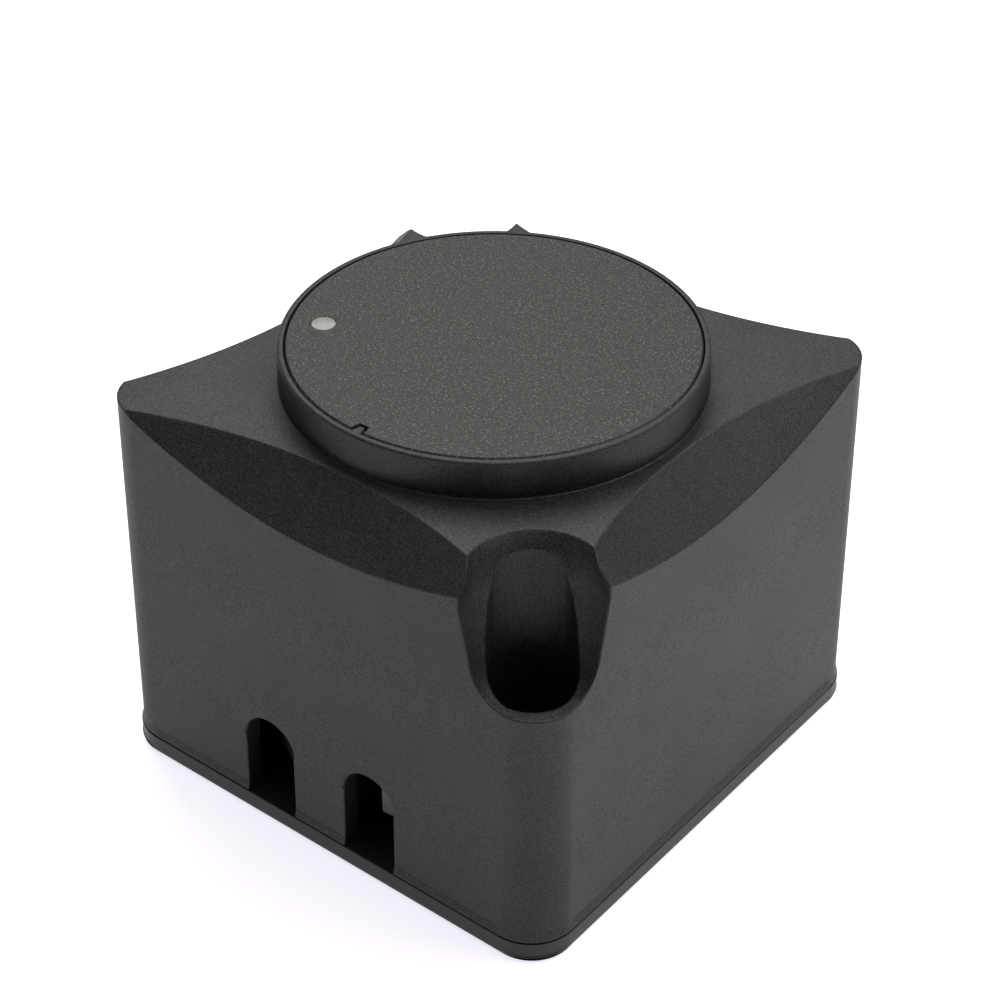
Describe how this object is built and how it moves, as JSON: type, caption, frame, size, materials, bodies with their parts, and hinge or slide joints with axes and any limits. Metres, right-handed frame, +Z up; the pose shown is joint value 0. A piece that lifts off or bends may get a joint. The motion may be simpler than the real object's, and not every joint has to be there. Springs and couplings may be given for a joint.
{
  "type": "battery isolator relay",
  "caption": "Square moulded battery isolator relay with a round relay module, scooped screw pockets and arched cable openings over its terminal studs.",
  "frame": {"origin": "middle of the base plate's underside, which is the face that lies on the mounting panel", "axes": "+Z up out of the panel, through the round module; -Y out of the wall with the cable openings"},
  "size_m": [0.068, 0.068, 0.0571],
  "materials": {
    "housing_plastic": "moulded, fine spark-eroded texture",
    "disc_plastic": "moulded, coarser grained texture",
    "base_plastic": "moulded, smooth satin",
    "block_plastic": "glass-filled nylon, dull",
    "chamber_plastic": "phenolic moulding, dull",
    "natural_nylon": "natural nylon, satin",
    "lens": "translucent, smooth",
    "led_epoxy": "clear tinted epoxy",
    "seal_rubber": "moulded",
    "copper": "bare copper, stamped",
    "tinned_brass": "tinned",
    "silver": "silver alloy, flat ground",
    "zinc_steel": "zinc plated",
    "spring_steel": "drawn",
    "rod_steel": "ground",
    "soft_iron": "turned, nickel plated",
    "yoke_steel": "pressed, zinc plated",
    "enamelled_wire": "enamelled copper wire, wound",
    "board_laminate": "solder mask",
    "package_epoxy": "moulded epoxy",
    "resistor_ceramic": "glazed ceramic",
    "capacitor_can": "sleeved aluminium"
  },
  "bodies": {
    "case": {"housing": "housing_plastic", "base_plate": "base_plastic", "base_screws": "zinc_steel", "module_cap": "disc_plastic", "window_lens": "lens", "sealing_ring": "seal_rubber", "terminal_block": "block_plastic", "terminal_bars": "copper", "terminal_studs": "zinc_steel", "flat_washers": "zinc_steel", "spring_washers": "spring_steel", "terminal_nuts": "zinc_steel", "negative_tab": "tinned_brass", "contact_posts": "copper", "fixed_contacts": "silver", "contact_chamber": "chamber_plastic", "return_spring": "spring_steel", "fixed_core": "soft_iron", "bobbin": "natural_nylon", "coil_winding": "enamelled_wire", "coil_pins": "tinned_brass", "coil_leads": "enamelled_wire", "yoke_frame": "yoke_steel", "yoke_plate": "yoke_steel", "circuit_board": "board_laminate", "indicator_light": "led_epoxy", "controller_chip": "package_epoxy", "drive_transistor": "package_epoxy", "voltage_regulator": "package_epoxy", "suppression_diode": "package_epoxy", "chip_resistors": "resistor_ceramic", "smoothing_capacitor": "capacitor_can", "connecting_wires": "tinned_brass"},
    "plunger_set": {"plunger": "soft_iron", "plunger_rod": "rod_steel", "retaining_clip": "spring_steel"},
    "bridge_set": {"bridge_bar": "copper", "bridge_contacts": "silver", "bridge_bush": "natural_nylon", "contact_spring": "spring_steel"}
  },
  "joints": [
    {"name": "plunger_slide", "type": "slide", "parent": "case", "child": "plunger_set", "axis": [0, 0, -1], "range_m": [0, 0.0024], "stiffness_N_per_m": 350, "springref_m": -0.004, "deforming": ["return_spring"]},
    {"name": "bridge_slide", "type": "slide", "parent": "case", "child": "bridge_set", "axis": [0, 0, -1], "range_m": [0, 0.0018], "deforming": ["contact_spring"]}
  ],
  "couplings": [
    {"joint": "bridge_slide", "follows": "plunger_slide", "ratio": 0.75}
  ]
}
